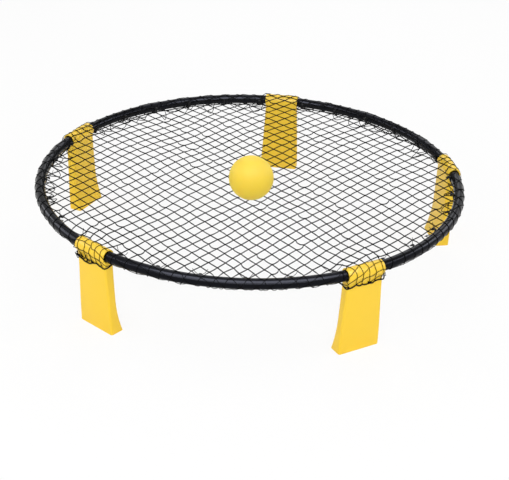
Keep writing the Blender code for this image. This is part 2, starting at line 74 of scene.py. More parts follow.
LEG_BEARINGS = [atan2(HINGES[leg].y, HINGES[leg].x) for leg in LEGS]
BUNCHED_LEG = min(LEG_BEARINGS, key=lambda bearing: abs(bearing % tau - radians(229)))
BALL_LOW, BALL_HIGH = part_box("ball")
VALVE_LOW, VALVE_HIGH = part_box("ball_valve")


def size(name, description, default, low=0.0):
    return FloatProperty(
        name=name, description=description, default=default, min=low, unit="LENGTH", precision=4
    )


def colour(name, description, default):
    return FloatVectorProperty(
        name=name, description=description, default=default, size=4, min=0.0, max=1.0, subtype="COLOR"
    )


def turn(name, description, degrees):
    return FloatProperty(name=name, description=description, default=radians(degrees), subtype="ANGLE")


# Sizes and colours


class RimSizes(bpy.types.PropertyGroup):
    ring_radius: size("Ring radius", "From the ring's middle to the middle of the tubes", 0.44635)
    tube_radius: size("Tube radius", "Outside of a rim tube", 0.01065)
    tube_wall: size("Tube wall", "Thickness of a rim tube", 0.0020)
    height: size("Height", "Middle of the tubes above the ground", HINGES[LEGS[0]].z)
    first_joint: turn("First joint", "Bearing of the joint where the first tube starts", 11.2)
    butt_gap: size("Butt gap", "Between a tube's shoulder and the next tube", 0.0003)
    spigot_length: size("Spigot length", "Swaged end that enters the next tube", 0.030)
    spigot_clearance: size("Spigot clearance", "Between the spigot and the next tube's bore", 0.0003)


class LegSizes(bpy.types.PropertyGroup):
    sleeve_length: size("Sleeve length", "Sleeve along the rim", 0.079)
    sleeve_clearance: size("Sleeve clearance", "Straight sleeve to curved tube, at its closest", 0.00045)
    sleeve_wall: size("Sleeve wall", "Thickness of the sleeve", 0.0025)
    sleeve_lip: size("Sleeve lip", "Rounding at the sleeve's mouths", 0.0009)
    neck_width: size("Neck width", "Panel under the sleeve", 0.078)
    foot_width: size("Foot width", "Panel at the ground", 0.091)
    outer_top: size("Outer face, top", "From the sleeve's axis, under the sleeve", 0.0085)
    outer_foot: size("Outer face, foot", "From the sleeve's axis, at the ground", 0.0048)
    inset: size("Inset", "Inner face from the sleeve's inner side, down to the flare", 0.0015)
    flare: size("Flare", "How far the inner face runs in at the foot", 0.0130)
    flare_height: size("Flare height", "Where the flare starts above the ground", 0.075)
    edge_radius: size("Edge radius", "Rounding of the upright edges", 0.0045)
    wall: size("Panel wall", "Thickness of the hollow panel", 0.0028)
    fillet: size("Fillet", "Height in which the panel spreads into the sleeve", 0.010)
    fillet_spread: size("Fillet spread", "How far it has spread level with the sleeve's underside", 0.0012)


class NetSizes(bpy.types.PropertyGroup):
    strand: size("Strand", "Diameter of the net's cord", 0.0023)
    taut: FloatProperty(
        name="Taut", description="Share of its diameter that a strand keeps over the rim", default=0.50
    )
    knot: size("Knot", "Length of a knot", 0.0046)
    hitch: size("Hitch", "Lump that ties the net's edge to the cord beside a hook", 0.0055)
    diagonal_x: size("Mesh along X", "One diamond, knot to knot, in the middle of the net", 0.0330)
    diagonal_x_spread: size("Mesh spread", "Wider diamonds at the back, narrower in front", 0.0045)
    diagonal_y: size("Mesh along Y", "One diamond, knot to knot, in the middle of the net", 0.0378)
    diagonal_y_spread: size("Mesh stretch", "Longer diamonds at front and back", -0.0022, low=-0.01)
    reach: size("Reach", "Net past the top of the tube, to its edge", 0.0404)
    clearance: size("Clearance", "Net to tube and sleeve", 0.0001)
    slack: size("Slack", "How far the middle hangs", 0.0028)
    rise: size("Rise", "How far inside the ring the net starts to rise to a sleeve", 0.090)
    ball_spread: size("Dip width", "How fast the dip under the ball fades", 0.060)
    wander: size("Wander", "How far knots stray from an even mesh", 0.0026)
    warp: size("Warp", "How far whole patches of the mesh are pulled out of line", 0.011)
    sleeve_margin: size("Sleeve margin", "Past the sleeve before the edge turns under the tube", 0.002)
    sleeve_turn: size("Sleeve turn", "Length of that turn", 0.010)
    ruffle: size("Ruffle", "How far the net's edge strays on a leg", 0.006)
    hang: size("Hang", "How far the edge hangs off the tube between two hooks", 0.0020)
    loop: size("Edge loop", "Half mesh that hangs past the edge cord, inwards", 0.028)
    gather: size("Gather", "How far past the sleeve the net is drawn in towards a leg", 0.060)
    bunch: size("Bunch", "How much further the net hangs where it is gathered, on the front left leg", 0.007)
    bunch_width: size("Bunch width", "Half the width of the gathered part", 0.021)
    seed: IntProperty(name="Seed", description="Changes how the strands stray", default=7)


class CordSizes(bpy.types.PropertyGroup):
    diameter: size("Diameter", "Elastic edge cord", 0.0026)
    scallop: size("Scallop", "How far the cord hangs between the strands it holds", 0.0022)
    under_sleeve: size("Under the sleeve", "Cord on a leg, below the sleeve's underside", 0.0062)


class HookSizes(bpy.types.PropertyGroup):
    width: size("Width", "Hook along the rim", 0.006)
    thickness: size("Thickness", "Plastic of the hook", 0.0020)
    clearance: size("Clearance", "Hook to tube and cord", 0.00025)
    rounding: size("Rounding", "Edges of the hook", 0.0005)
    bight: size("Bight", "Middle line of the bend that takes a strand", 0.0032)
    cradle: turn("Cradle", "How far the hook goes round the cord", 200)
    spine_end: turn("Spine end", "From the tube's top, outwards and round", 274)


class BallSizes(bpy.types.PropertyGroup):
    wall: size("Wall", "Rubber of the ball", 0.003)
    valve: size("Valve", "Diameter of the valve plug", 0.0054)
    dimple: size("Dimple", "Rounded rim of the valve hole", 0.0045)


class Finishes(bpy.types.PropertyGroup):
    tube: colour("Rim", "Coating of the tubes", (0.0100, 0.0104, 0.0130, 1.0))
    leg: colour("Legs", "Moulded plastic of the legs", (0.93, 0.61, 0.036, 1.0))
    net: colour("Net", "Cord of the net", (0.006, 0.006, 0.0065, 1.0))
    cord: colour("Edge cord", "Braid of the elastic cord", (0.007, 0.007, 0.008, 1.0))
    hook: colour("Hooks", "Plastic of the hooks", (0.007, 0.007, 0.008, 1.0))
    ball: colour("Ball", "Rubber of the ball", (0.95, 0.68, 0.07, 1.0))
    valve: colour("Valve", "Rubber of the valve plug", (0.80, 0.52, 0.05, 1.0))


class StageSizes(bpy.types.PropertyGroup):
    floor: size("Floor", "Side of the floor", 60.0)
    distance: size("Distance", "Camera to the point it looks at", 2.1681)
    aim_x: size("Aim across", "Point that the camera looks at, in the tubes' plane", 0.01538, -1.0)
    aim_y: size("Aim along", "Point that the camera looks at, in the tubes' plane", -0.28232, -1.0)
    elevation: turn("Elevation", "Camera above the tubes' plane", 29.04)
    roll: turn("Roll", "Camera about its own line of sight", 1.66)
    lens: FloatProperty(name="Lens", description="Focal length for a 36 mm frame", default=79.06)
    shift_x: FloatProperty(name="Shift across", description="Share of the frame's width", default=-0.00196)
    shift_y: FloatProperty(name="Shift up", description="Share of the frame's width", default=0.0002)


# Shapes that the net, the cord and the hooks share


def mix(first, second, share):
    return first + (second - first) * share


def ease(share):
    share = min(max(share, 0.0), 1.0)
    return share * share * (3 - 2 * share)


def polar(spread, bearing, *height):
    return Vector((spread * cos(bearing), spread * sin(bearing), *height))


def signed(angle):
    """The same direction, as an angle within half a turn either way."""
    return (angle + pi) % tau - pi


def stray_at(bearing, waves, offset):
    """Noise that changes along the ring and closes on itself."""
    return noise.noise(polar(waves, bearing, offset))


def sleeve_shift(scene):
    """How far the straight sleeve's axis lies inside the curved tube's."""
    ring, half = scene.roundnet_rim.ring_radius, scene.roundnet_leg.sleeve_length / 2
    return (ring - sqrt(ring**2 - half**2)) / 2


def sleeve_bore(scene):
    return scene.roundnet_rim.tube_radius + sleeve_shift(scene) + scene.roundnet_leg.sleeve_clearance


def sleeve_radius(scene):
    return sleeve_bore(scene) + scene.roundnet_leg.sleeve_wall


def outer_face(scene, z):
    """The panel's outer face at this height, spreading into the sleeve on top."""
    leg, radius = scene.roundnet_leg, sleeve_radius(scene)
    down = min(max((-z - radius) / (scene.roundnet_rim.height - radius), 0.0), 1.0)
    spread = max(0.0, 1 + (z + radius) / leg.fillet) ** 2
    return mix(leg.outer_top, leg.outer_foot, down) + leg.fillet_spread * spread


def inner_face(scene, z):
    """The panel's inner face: upright, with an arc running in at the foot."""
    leg = scene.roundnet_leg
    radius = (leg.flare_height**2 + leg.flare**2) / (2 * leg.flare)
    rise = leg.flare_height - min(scene.roundnet_rim.height + z, leg.flare_height)
    return leg.inset - sleeve_radius(scene) - radius + sqrt(radius**2 - rise**2)


def panel_width(scene, z):
    leg = scene.roundnet_leg
    return mix(leg.neck_width, leg.foot_width, ease(-z / scene.roundnet_rim.height))


class Course:
    """The way that cord of one radius takes: flat inside the ring, then over tube or sleeve."""

    def __init__(self, scene, radius):
        rim, leg, net, cord = scene.roundnet_rim, scene.roundnet_leg, scene.roundnet_net, scene.roundnet_cord
        self.scene = scene
        self.radius = radius
        self.ring = rim.ring_radius
        self.height = rim.height
        self.hinge = rim.ring_radius - sleeve_shift(scene)
        self.over_tube = rim.tube_radius + net.clearance + radius
        self.over_sleeve = sleeve_radius(scene) + net.clearance + radius
        self.reach = net.reach
        self.reach_to_cord = net.reach + net.strand / 2 + cord.diameter / 2
        self.off_leg = net.clearance + radius
        self.cord_z = -sleeve_radius(scene) - cord.under_sleeve
        cord_x = outer_face(scene, self.cord_z) + self.off_leg
        away = hypot(cord_x, self.cord_z)
        self.leave_sleeve = atan2(cord_x, self.cord_z) - acos(self.over_sleeve / away)
        self.beside_sleeve = sqrt(away**2 - self.over_sleeve**2)
        self.rise = net.rise
        self.hang = net.hang
        self.bunch = net.bunch
        self.bunch_width = net.bunch_width / self.ring
        self.bunched = BUNCHED_LEG - self.bunch_width * 0.8
        self.taut = net.taut
        self.hooks = sorted(hook_bearings())
        self.side = leg.sleeve_length / 2 + net.sleeve_margin
        self.turn = net.sleeve_turn
        self.slack = net.slack
        self.ball = Vector(((BALL_LOW.x + BALL_HIGH.x) / 2, (BALL_LOW.y + BALL_HIGH.y) / 2))
        self.ball_spread = net.ball_spread
        under_ball = self.height + self.over_tube - BALL_LOW.z + 0.4 * net.knot + net.clearance
        self.ball_dip = under_ball - self.slack * (1 - (self.ball.length / self.ring) ** 2)

    def from_leg(self, bearing):
        return min(abs(signed(bearing - leg)) for leg in LEG_BEARINGS)

    def leg_share(self, bearing):
        """1 where the net's edge passes a leg, 0 where it goes round a bare tube."""
        past = self.ring * self.from_leg(bearing) - self.side
        return 1 - ease(past / self.turn)

    def hang_at(self, bearing):
        """How far the edge hangs off a bare tube: nothing at a hook, most half way to the next."""
        after = bisect(self.hooks, bearing) % len(self.hooks)
        gap = (self.hooks[after] - self.hooks[after - 1]) % tau
        between = ((bearing - self.hooks[after - 1]) % tau) / gap
        uneven = 0.75 + 0.5 * stray_at(bearing, 25, 8.1)
        return self.hang * uneven * sin(pi * between) ** 2 * (1 - self.leg_share(bearing))

    def beside_leg(self, bearing, x):
        return (self.hinge + x) / cos(self.from_leg(bearing))

    def dip(self, x, y):
        slack = self.slack * (1 - min(hypot(x, y) / self.ring, 1.0) ** 2)
        away = hypot(x - self.ball.x, y - self.ball.y, 0.015) - 0.015
        return slack + self.ball_dip * exp(-away / self.ball_spread)

    def on_tube(self, past, lift):
        angle = past / self.over_tube
        radius = self.over_tube + lift
        return radius * sin(angle), radius * cos(angle)

    def on_leg(self, past, lift):
        """Round the sleeve, straight on to the edge cord, then down the leg's outer face."""
        whole = self.over_sleeve * self.leave_sleeve + self.beside_sleeve
        along = past * whole / self.reach_to_cord
        angle = min(along / self.over_sleeve, self.leave_sleeve)
        beyond = along - self.over_sleeve * angle
        radius = self.over_sleeve + lift
        x = radius * sin(angle) + beyond * cos(angle)
        z = radius * cos(angle) - beyond * sin(angle)
        if along > whole:
            z = self.cord_z + whole - along
        if z < -sleeve_radius(self.scene):
            x = max(x, outer_face(self.scene, z) + self.off_leg + lift)
        return x, z

    def place(self, x, y, lift=0.0):
        """A point of the flat net laid over the ring, lift above the surface it lies on."""
        spread, bearing = hypot(x, y), atan2(y, x)
        share = self.leg_share(bearing)
        if spread <= self.ring:
            near_rim = share * ease(1 - (self.ring - spread) / self.rise)
            height = mix(self.over_tube, self.over_sleeve, near_rim) - self.dip(x, y) + lift
            reach = mix(spread, self.beside_leg(bearing, spread - self.ring), near_rim)
            return polar(reach, bearing, self.height + height)
        off_tube = self.hang_at(bearing) * ease((spread - self.ring) / self.reach * 2 - 1)
        tube_x, tube_z = self.on_tube(spread - self.ring, lift + off_tube)
        reach = self.ring + tube_x
        height = tube_z
        if share:
            leg_x, leg_z = self.on_leg(spread - self.ring, lift)
            reach = mix(reach, self.beside_leg(bearing, leg_x), share)
            height = mix(tube_z, leg_z, share)
        return polar(reach, bearing, self.height + height)

    def place_at(self, spread, bearing, lift=0.0):
        return self.place(spread * cos(bearing), spread * sin(bearing), lift)

    def edge_past(self, bearing):
        """How far past the tube's top the net's edge lies, straying where it crosses a leg."""
        ruffle = self.scene.roundnet_net.ruffle * self.leg_share(bearing)
        aside = signed(bearing - self.bunched) / self.bunch_width
        return self.reach + ruffle * stray_at(bearing, 38, 3.3) + self.bunch * exp(-(aside**2))

    def edge_from(self, spot):
        """The net's edge from the ring's middle, in a flat point's direction."""
        return self.ring + self.edge_past(atan2(spot.y, spot.x))

    def thickness(self, spread):
        """Share of its thickness that cord keeps there: less where it is pulled tight over the rim."""
        return mix(1.0, self.taut, ease((spread - self.ring) / 0.01 + 1))


def hook_bearings():
    """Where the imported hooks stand."""
    found = []
    for name in HOOKS:
        low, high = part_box(name)
        found.append(atan2(low.y + high.y, low.x + high.x))
    return found


# Mesh helpers


def start_fresh():
    if bpy.context.mode != "OBJECT":
        bpy.ops.object.mode_set(mode="OBJECT")
    bpy.ops.object.select_all(action="DESELECT")


def named(name):
    """The object that an operator has just added, under its own name."""
    item = bpy.context.object
    item.name = name
    item.data.name = name
    return item


def only(item):
    start_fresh()
    item.select_set(True)
    bpy.context.view_layer.objects.active = item


def new_object(name, data):
    item = bpy.data.objects.new(name, data)
    bpy.context.scene.collection.objects.link(item)
    return item


def drop(item):
    bpy.data.objects.remove(item, do_unlink=True)


def select_where(item, kind, test):
    """Selects the vertices, edges or faces for which the test holds, and goes into edit mode."""
    only(item)
    bpy.ops.object.mode_set(mode="EDIT")
    bpy.ops.mesh.select_mode(type=kind)
    bpy.ops.mesh.select_all(action="DESELECT")
    bm = bmesh.from_edit_mesh(item.data)
    for element in {"VERT": bm.verts, "EDGE": bm.edges, "FACE": bm.faces}[kind]:
        element.select_set(test(element))
    bm.select_flush_mode()
    bmesh.update_edit_mesh(item.data)


def select_whole(item):
    select_where(item, "FACE", lambda face: True)


def close_up(merge=True):
    """Merges what lies in one place, turns every face outwards and leaves edit mode."""
    bpy.ops.mesh.select_all(action="SELECT")
    if merge:
        bpy.ops.mesh.remove_doubles(threshold=0.00001)
    bpy.ops.mesh.normals_make_consistent(inside=False)
    bpy.ops.object.mode_set(mode="OBJECT")


def apply_modifier(item, name):
    only(item)
    bpy.ops.object.modifier_apply(modifier=name)


def round_off(item, width, segments, degrees=30):
    """Rounds the edges that turn by more than this."""
    bevel = item.modifiers.new("rounding", "BEVEL")
    bevel.width = width
    bevel.segments = segments
    bevel.limit_method = "ANGLE"
    bevel.angle_limit = radians(degrees)
    apply_modifier(item, "rounding")


def cut(item, operation, other):
    modifier = item.modifiers.new(operation, "BOOLEAN")
    modifier.operation = operation
    modifier.solver = "EXACT"
    modifier.object = other
    apply_modifier(item, operation)
    drop(other)


def settle(item):
    """Puts the object at the origin with its place in its mesh."""
    item.data.transform(item.matrix_basis)
    item.matrix_basis = Matrix.Identity(4)


def smooth(item, degrees=35):
    only(item)
    bpy.ops.object.shade_smooth_by_angle(angle=radians(degrees))


def new_cord(name, radius, resolution):
    """A curve whose lines are swept to cord of this radius."""
    curve = bpy.data.curves.new(name, "CURVE")
    curve.dimensions = "3D"
    curve.bevel_depth = radius
    curve.bevel_resolution = resolution
    return curve


def add_line(curve, points, thickness, kind="POLY"):
    spline = curve.splines.new(kind)
    spline.points.add(len(points) - 1)
    for slot, point in zip(spline.points, points):
        slot.radius = thickness
        slot.co = (*point, 1.0)
    return spline


def cord_mesh(curve, name):
    only(new_object(name, curve))
    bpy.ops.object.convert(target="MESH")
    return named(name)


def copy_of(item, name, place):
    """A copy with its own mesh, turned and moved in its mesh."""
    mesh = item.data.copy()
    mesh.transform(place)
    mesh.name = name
    return new_object(name, mesh)


def dress(item, body, node, material):
    """Rides on its body, stands for its node, and takes its material."""
    item.data.materials.clear()
    item.data.materials.append(material)
    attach(item, body)
    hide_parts(node)


# Materials


def feed(tree, slot, value):
    """Links an input to another node's output, or sets it to a constant."""
    if isinstance(value, bpy.types.NodeSocket):
        tree.links.new(value, slot)
    else:
        slot.default_value = value


def add_node(tree, kind, inputs=None, **values):
    node = tree.nodes.new(kind)
    for key, value in values.items():
        setattr(node, key, value)
    for key, value in (inputs or {}).items():
        feed(tree, node.inputs[key], value)
    return node


def calculate(tree, operation, *inputs):
    return add_node(tree, "ShaderNodeMath", dict(enumerate(inputs)), operation=operation).outputs[0]


def new_group(name, inputs, outputs):
    """A node group whose inputs are floats, colours or a place without a default."""
    tree = bpy.data.node_groups.new(name, "ShaderNodeTree")
    kinds = {float: "NodeSocketFloat", tuple: "NodeSocketColor", type(None): "NodeSocketVector"}
    for key, default in inputs.items():
        socket = tree.interface.new_socket(key, in_out="INPUT", socket_type=kinds[type(default)])
        if default is not None:
            socket.default_value = default
    for key, kind in outputs.items():
        tree.interface.new_socket(key, in_out="OUTPUT", socket_type=kinds[kind])
    return tree, tree.nodes.new("NodeGroupInput").outputs, tree.nodes.new("NodeGroupOutput").inputs


def cloud(tree, given, scale, detail):
    inputs = {"Vector": given["Vector"], "Scale": given[scale], "Detail": detail}
    return add_node(tree, "ShaderNodeTexNoise", inputs).outputs["Fac"]


def uneven_group(name):
    """Colour and roughness that vary softly over the surface, as on any handled piece."""
    tree, given, result = new_group(
        name,
        {
            "Vector": None,
            "Colour": (0.5, 0.5, 0.5, 1.0),
            "Scale": 20.0,
            "Colour change": 0.1,
            "Roughness": 0.5,
            "Roughness change": 0.1,
        },
        {"Colour": tuple, "Roughness": float},
    )
    centred = calculate(tree, "SUBTRACT", cloud(tree, given, "Scale", 4.0), 0.5)
    change = calculate(tree, "MULTIPLY_ADD", centred, given["Colour change"], 1.0)
    inputs = {0: 1.0, 6: given["Colour"], 7: change}
    tint = add_node(tree, "ShaderNodeMix", inputs, data_type="RGBA", blend_type="MULTIPLY").outputs[2]
    rough = calculate(tree, "MULTIPLY_ADD", centred, given["Roughness change"], given["Roughness"])
    feed(tree, result["Colour"], tint)
    feed(tree, result["Roughness"], rough)
    return tree


def grain_group(name):
    """A fine moulded or coated surface: pits of one size over a slow unevenness."""
    tree, given, result = new_group(
        name,
        {"Vector": None, "Fine scale": 900.0, "Slow scale": 60.0, "Slow share": 0.5},
        {"Height": float},
    )
    fine, slow = cloud(tree, given, "Fine scale", 2.0), cloud(tree, given, "Slow scale", 1.0)
    inputs = {0: given["Slow share"], 2: fine, 3: slow}
    blend = add_node(tree, "ShaderNodeMix", inputs, data_type="FLOAT").outputs[0]
    feed(tree, result["Height"], blend)
    return tree


def twist_group(name):
    """Laid or braided cord: slanting ridges along the cord, from its UV map."""
    tree, given, result = new_group(name, {"Vector": None, "Ridges": 6.0, "Pitch": 60.0}, {"Height": float})
    place = add_node(tree, "ShaderNodeSeparateXYZ", {0: given["Vector"]}).outputs
    waves = []
    for way in (1.0, -1.0):
        along = calculate(tree, "MULTIPLY", place["X"], given["Pitch"])
        across = calculate(tree, "MULTIPLY", place["Y"], tau * way)
        slant = calculate(tree, "MULTIPLY_ADD", across, given["Ridges"], along)
        waves.append(calculate(tree, "SINE", slant))
    feed(tree, result["Height"], calculate(tree, "MAXIMUM", *waves))
    return tree


NODE_GROUPS = {"uneven": uneven_group, "grain": grain_group, "twist": twist_group}


def use_group(tree, name, inputs):
    """Places a node group, which is built when it is first used."""
    group = bpy.data.node_groups.get(name) or NODE_GROUPS[name](name)
    return add_node(tree, "ShaderNodeGroup", inputs, node_tree=group).outputs


# For each finish: the material's name, the values of its uneven group, its relief group with the
# coordinates and values that this takes, its bump, and constants of the shader.
FINISHES = {
    # Powder coat: a fine orange-peel skin with a soft shine.
    "tube": (
        "rim_powder_coat",
        {"Scale": 14.0, "Colour change": 0.35, "Roughness": 0.20, "Roughness change": 0.10},
        ("grain", "Object", {"Fine scale": 1400.0, "Slow scale": 260.0, "Slow share": 0.45}),
        {"Distance": 0.0001, "Strength": 0.20},
        {"Metallic": 1.0, "Specular Tint": (0.8, 0.8, 0.8, 1.0)},
    ),
    # Bright moulded plastic with a faint spark-eroded texture.
    "leg": (
        "leg_moulded_plastic",
        {"Scale": 11.0, "Colour change": 0.07, "Roughness": 0.38, "Roughness change": 0.14},
        ("grain", "Object", {"Fine scale": 1900.0, "Slow scale": 45.0, "Slow share": 0.30}),
        {"Distance": 0.0002, "Strength": 0.25},
        {
            "Specular IOR Level": 0.3,
            "Subsurface Weight": 0.06,
            "Subsurface Radius": (0.006, 0.004, 0.001),
            "Subsurface Scale": 0.5,
        },
    ),
    # Dull twisted nylon.
    "net": (
        "net_twisted_cord",
        {"Scale": 30.0, "Colour change": 0.6, "Roughness": 0.85, "Roughness change": 0.2},
        ("twist", "UV", {"Ridges": 3.0, "Pitch": 2200.0}),
        {"Distance": 0.00015, "Strength": 0.5},
        {"Specular IOR Level": 0.04},
    ),
    # Braided cover of the elastic cord.
    "cord": (
        "edge_cord_braid",
        {"Scale": 40.0, "Colour change": 0.5, "Roughness": 0.7, "Roughness change": 0.2},
        ("twist", "UV", {"Ridges": 8.0, "Pitch": 9000.0}),
        {"Distance": 0.0002, "Strength": 0.6},
        {"Specular IOR Level": 0.06},
    ),
    # Black nylon clip.
    "hook": (
        "hook_nylon",
        {"Scale": 60.0, "Colour change": 0.4, "Roughness": 0.42, "Roughness change": 0.15},
        ("grain", "Object", {"Fine scale": 2400.0, "Slow scale": 300.0, "Slow share": 0.4}),
        {"Distance": 0.0001, "Strength": 0.3},
        {"Specular IOR Level": 0.12},
    ),
    # Soft rubber with a fine pebbled skin.
    "ball": (
        "ball_rubber",
        {"Scale": 16.0, "Colour change": 0.05, "Roughness": 0.5, "Roughness change": 0.12},
        ("grain", "Object", {"Fine scale": 1100.0, "Slow scale": 500.0, "Slow share": 0.5}),
        {"Distance": 0.0003, "Strength": 0.30},
        {
            "Specular IOR Level": 0.15,
            "Subsurface Weight": 0.60,
            "Subsurface Radius": (0.030, 0.021, 0.006),
            "Subsurface Scale": 1.0,
        },
    ),
    # Firmer rubber of the plug.
    "valve": (
        "valve_rubber",
        {"Scale": 120.0, "Colour change": 0.15, "Roughness": 0.65, "Roughness change": 0.15},
        ("grain", "Object", {"Fine scale": 2600.0, "Slow scale": 700.0, "Slow share": 0.4}),
        {"Distance": 0.0001, "Strength": 0.3},
        {},
    ),
}


def new_material(name):
    made = bpy.data.materials.new(name)
    made.use_nodes = True
    return made, made.node_tree, made.node_tree.nodes["Principled BSDF"]


def finish(scene, piece):
    """The piece's material, whose colour, roughness and bump come from node groups."""
    tint = getattr(scene.roundnet_finish, piece)
    name, uneven, (group, source, values), bump, plain = FINISHES[piece]
    made, tree, shader = new_material(name)
    made.diffuse_color = tint
    place = add_node(tree, "ShaderNodeTexCoord").outputs
    surface = use_group(tree, "uneven", {"Vector": place["Object"], "Colour": tint, **uneven})
    relief = use_group(tree, group, {"Vector": place[source], **values})
    bumped = add_node(tree, "ShaderNodeBump", {"Height": relief["Height"], **bump})
    changing = {
        "Base Color": surface["Colour"],
        "Roughness": surface["Roughness"],
        "Normal": bumped.outputs["Normal"],
    }
    for key, value in {**plain, **changing}.items():
        feed(tree, shader.inputs[key], value)
    return made


# Operators


class ROUNDNET_OT_rim_tubes(bpy.types.Operator):
    """Five bent tubes, each with a swaged end inside the next one"""

    bl_idname = "roundnet.rim_tubes"
    bl_label = "Rim tubes"

    def execute(self, context):
        rim = context.scene.roundnet_rim
        material = finish(context.scene, "tube")
        gap = rim.butt_gap / rim.ring_radius
        sweep = tau / len(TUBES) - gap
        start_fresh()
        bpy.ops.mesh.primitive_circle_add(
            vertices=32,
            radius=rim.tube_radius,
            fill_type="NGON",
            location=(rim.ring_radius, 0, 0),
            rotation=(pi / 2, 0, 0),
        )
        tube = named("tube_pattern")
        settle(tube)
        select_whole(tube)
        bpy.ops.mesh.inset(thickness=rim.tube_wall)
        bpy.ops.mesh.delete(type="FACE")
        bpy.ops.mesh.select_all(action="SELECT")
        bpy.ops.mesh.spin(steps=44, angle=-sweep, center=(0, 0, 0), axis=(0, 0, 1))
        end = Matrix.Rotation(sweep, 4, "Z") @ Vector((rim.ring_radius, 0, 0))
        narrow = (rim.tube_radius - rim.tube_wall - rim.spigot_clearance) / rim.tube_radius
        bpy.ops.mesh.extrude_region_move()
        bpy.ops.transform.resize(value=(narrow,) * 3, center_override=end)
        spigot_sweep = rim.spigot_length / rim.ring_radius
        bpy.ops.mesh.spin(steps=4, angle=-spigot_sweep, center=(0, 0, 0), axis=(0, 0, 1))
        close_up()
        smooth(tube)
        for k, node in enumerate(TUBES):
            bearing = rim.first_joint + gap / 2 + tau * k / len(TUBES)
            place = Matrix.Translation((0, 0, rim.height)) @ Matrix.Rotation(bearing, 4, "Z")
            dress(copy_of(tube, "coated_" + node, place), RIM, node, material)
        drop(tube)
        return {"FINISHED"}


class ROUNDNET_OT_legs(bpy.types.Operator):
    """Five moulded legs: a sleeve on the rim and a hollow panel down to the ground"""

    bl_idname = "roundnet.legs"
    bl_label = "Legs"

    def panel(self, scene, name, heights, inset, edge_radius):
        """A slab at the lowest height, drawn up section by section, with rounded upright edges."""

        def section(z):
            outer, inner = outer_face(scene, z) - inset, inner_face(scene, z) + inset
            return (outer + inner) / 2, outer - inner, panel_width(scene, z) - 2 * inset

        middle, depth, width = section(heights[0])
        start_fresh()
        bpy.ops.mesh.primitive_plane_add(size=1.0, location=(middle, 0, heights[0]))
        item = named(name)
        item.scale = (depth, width, 1)
        settle(item)
        select_whole(item)
        for z, below in zip(heights[1:], heights):
            new_middle, new_depth, new_width = section(z)
            bpy.ops.mesh.extrude_region_move(
                TRANSFORM_OT_translate={"value": (new_middle - middle, 0, z - below)}
            )
            bpy.ops.transform.resize(
                value=(new_depth / depth, new_width / width, 1), center_override=(new_middle, 0, z)
            )
            middle, depth, width = new_middle, new_depth, new_width
        close_up(merge=False)
        select_where(item, "EDGE", self.is_upright)
        bpy.ops.mesh.bevel(offset=edge_radius, segments=5, affect="EDGES")
        bpy.ops.object.mode_set(mode="OBJECT")
        return item

    def is_upright(self, edge):
        first, second = (vert.co for vert in edge.verts)
        return abs(first.z - second.z) > 1e-6 and first.y * second.y > 0

    def barrel(self, name, radius, length):
        """A cylinder round the leg's hinge."""
        start_fresh()
        bpy.ops.mesh.primitive_cylinder_add(
            vertices=72, radius=radius, depth=length, rotation=(pi / 2, 0, 0)
        )
        item = named(name)
        settle(item)
        return item

    def execute(self, context):
        scene = context.scene
        rim, leg = scene.roundnet_rim, scene.roundnet_leg
        foot, radius = -rim.height, sleeve_radius(scene)
        fillet_start = -radius - leg.fillet
        flare = [foot + leg.flare_height * k / 12 for k in range(13)]
        heights = flare + [mix(foot + leg.flare_height, fillet_start, k / 4) for k in (1, 2, 3, 4)]
        inside_sleeve = -0.8 * sqrt(radius**2 - (radius - leg.inset) ** 2)
        heights += [mix(fillet_start, inside_sleeve, k / 10) for k in range(1, 11)]
        pattern = self.panel(scene, "leg_pattern", heights, 0.0, leg.edge_radius)
        sleeve = self.barrel("sleeve", radius, leg.sleeve_length)
        select_where(sleeve, "EDGE", lambda edge: len({len(face.verts) for face in edge.link_faces}) == 2)
        bpy.ops.mesh.bevel(offset=leg.sleeve_lip, segments=3, affect="EDGES")
        cut(pattern, "UNION", sleeve)
        cut(pattern, "DIFFERENCE", self.barrel("bore", sleeve_bore(scene), leg.sleeve_length + 0.02))
        hollow = [foot - leg.wall] + flare + [-radius - leg.wall]
        core = self.panel(scene, "core", hollow, leg.wall, leg.edge_radius - 0.6 * leg.wall)
        cut(pattern, "DIFFERENCE", core)
        smooth(pattern, 32)
        material = finish(scene, "leg")
        for node, bearing in zip(LEGS, LEG_BEARINGS):
            place = Matrix.Translation(HINGES[node]) @ Matrix.Rotation(bearing, 4, "Z")
            dress(copy_of(pattern, "moulded_" + node, place), node, node, material)
        drop(pattern)
        return {"FINISHED"}


# Strands are cut into segments of these lengths, over the rim and inside it.
RIM_STEP, OPEN_STEP = 0.0038, 0.0092
# Most strands are nearly straight. This share of them, near the rim and inside it, is loose.
BEND, LOOSE_BEND = 0.0005, (0.0015, 0.0034)
LOOSE_NEAR_RIM, LOOSE_INSIDE = 0.22, 0.07
# Knots stray more from this distance on, and fully this much further out.
STRAY_START, STRAY_WIDTH = 0.36, 0.08
# A knot's length, width and height, as shares of its length.
KNOT_SHAPE = (1.0, 0.78, 0.66)


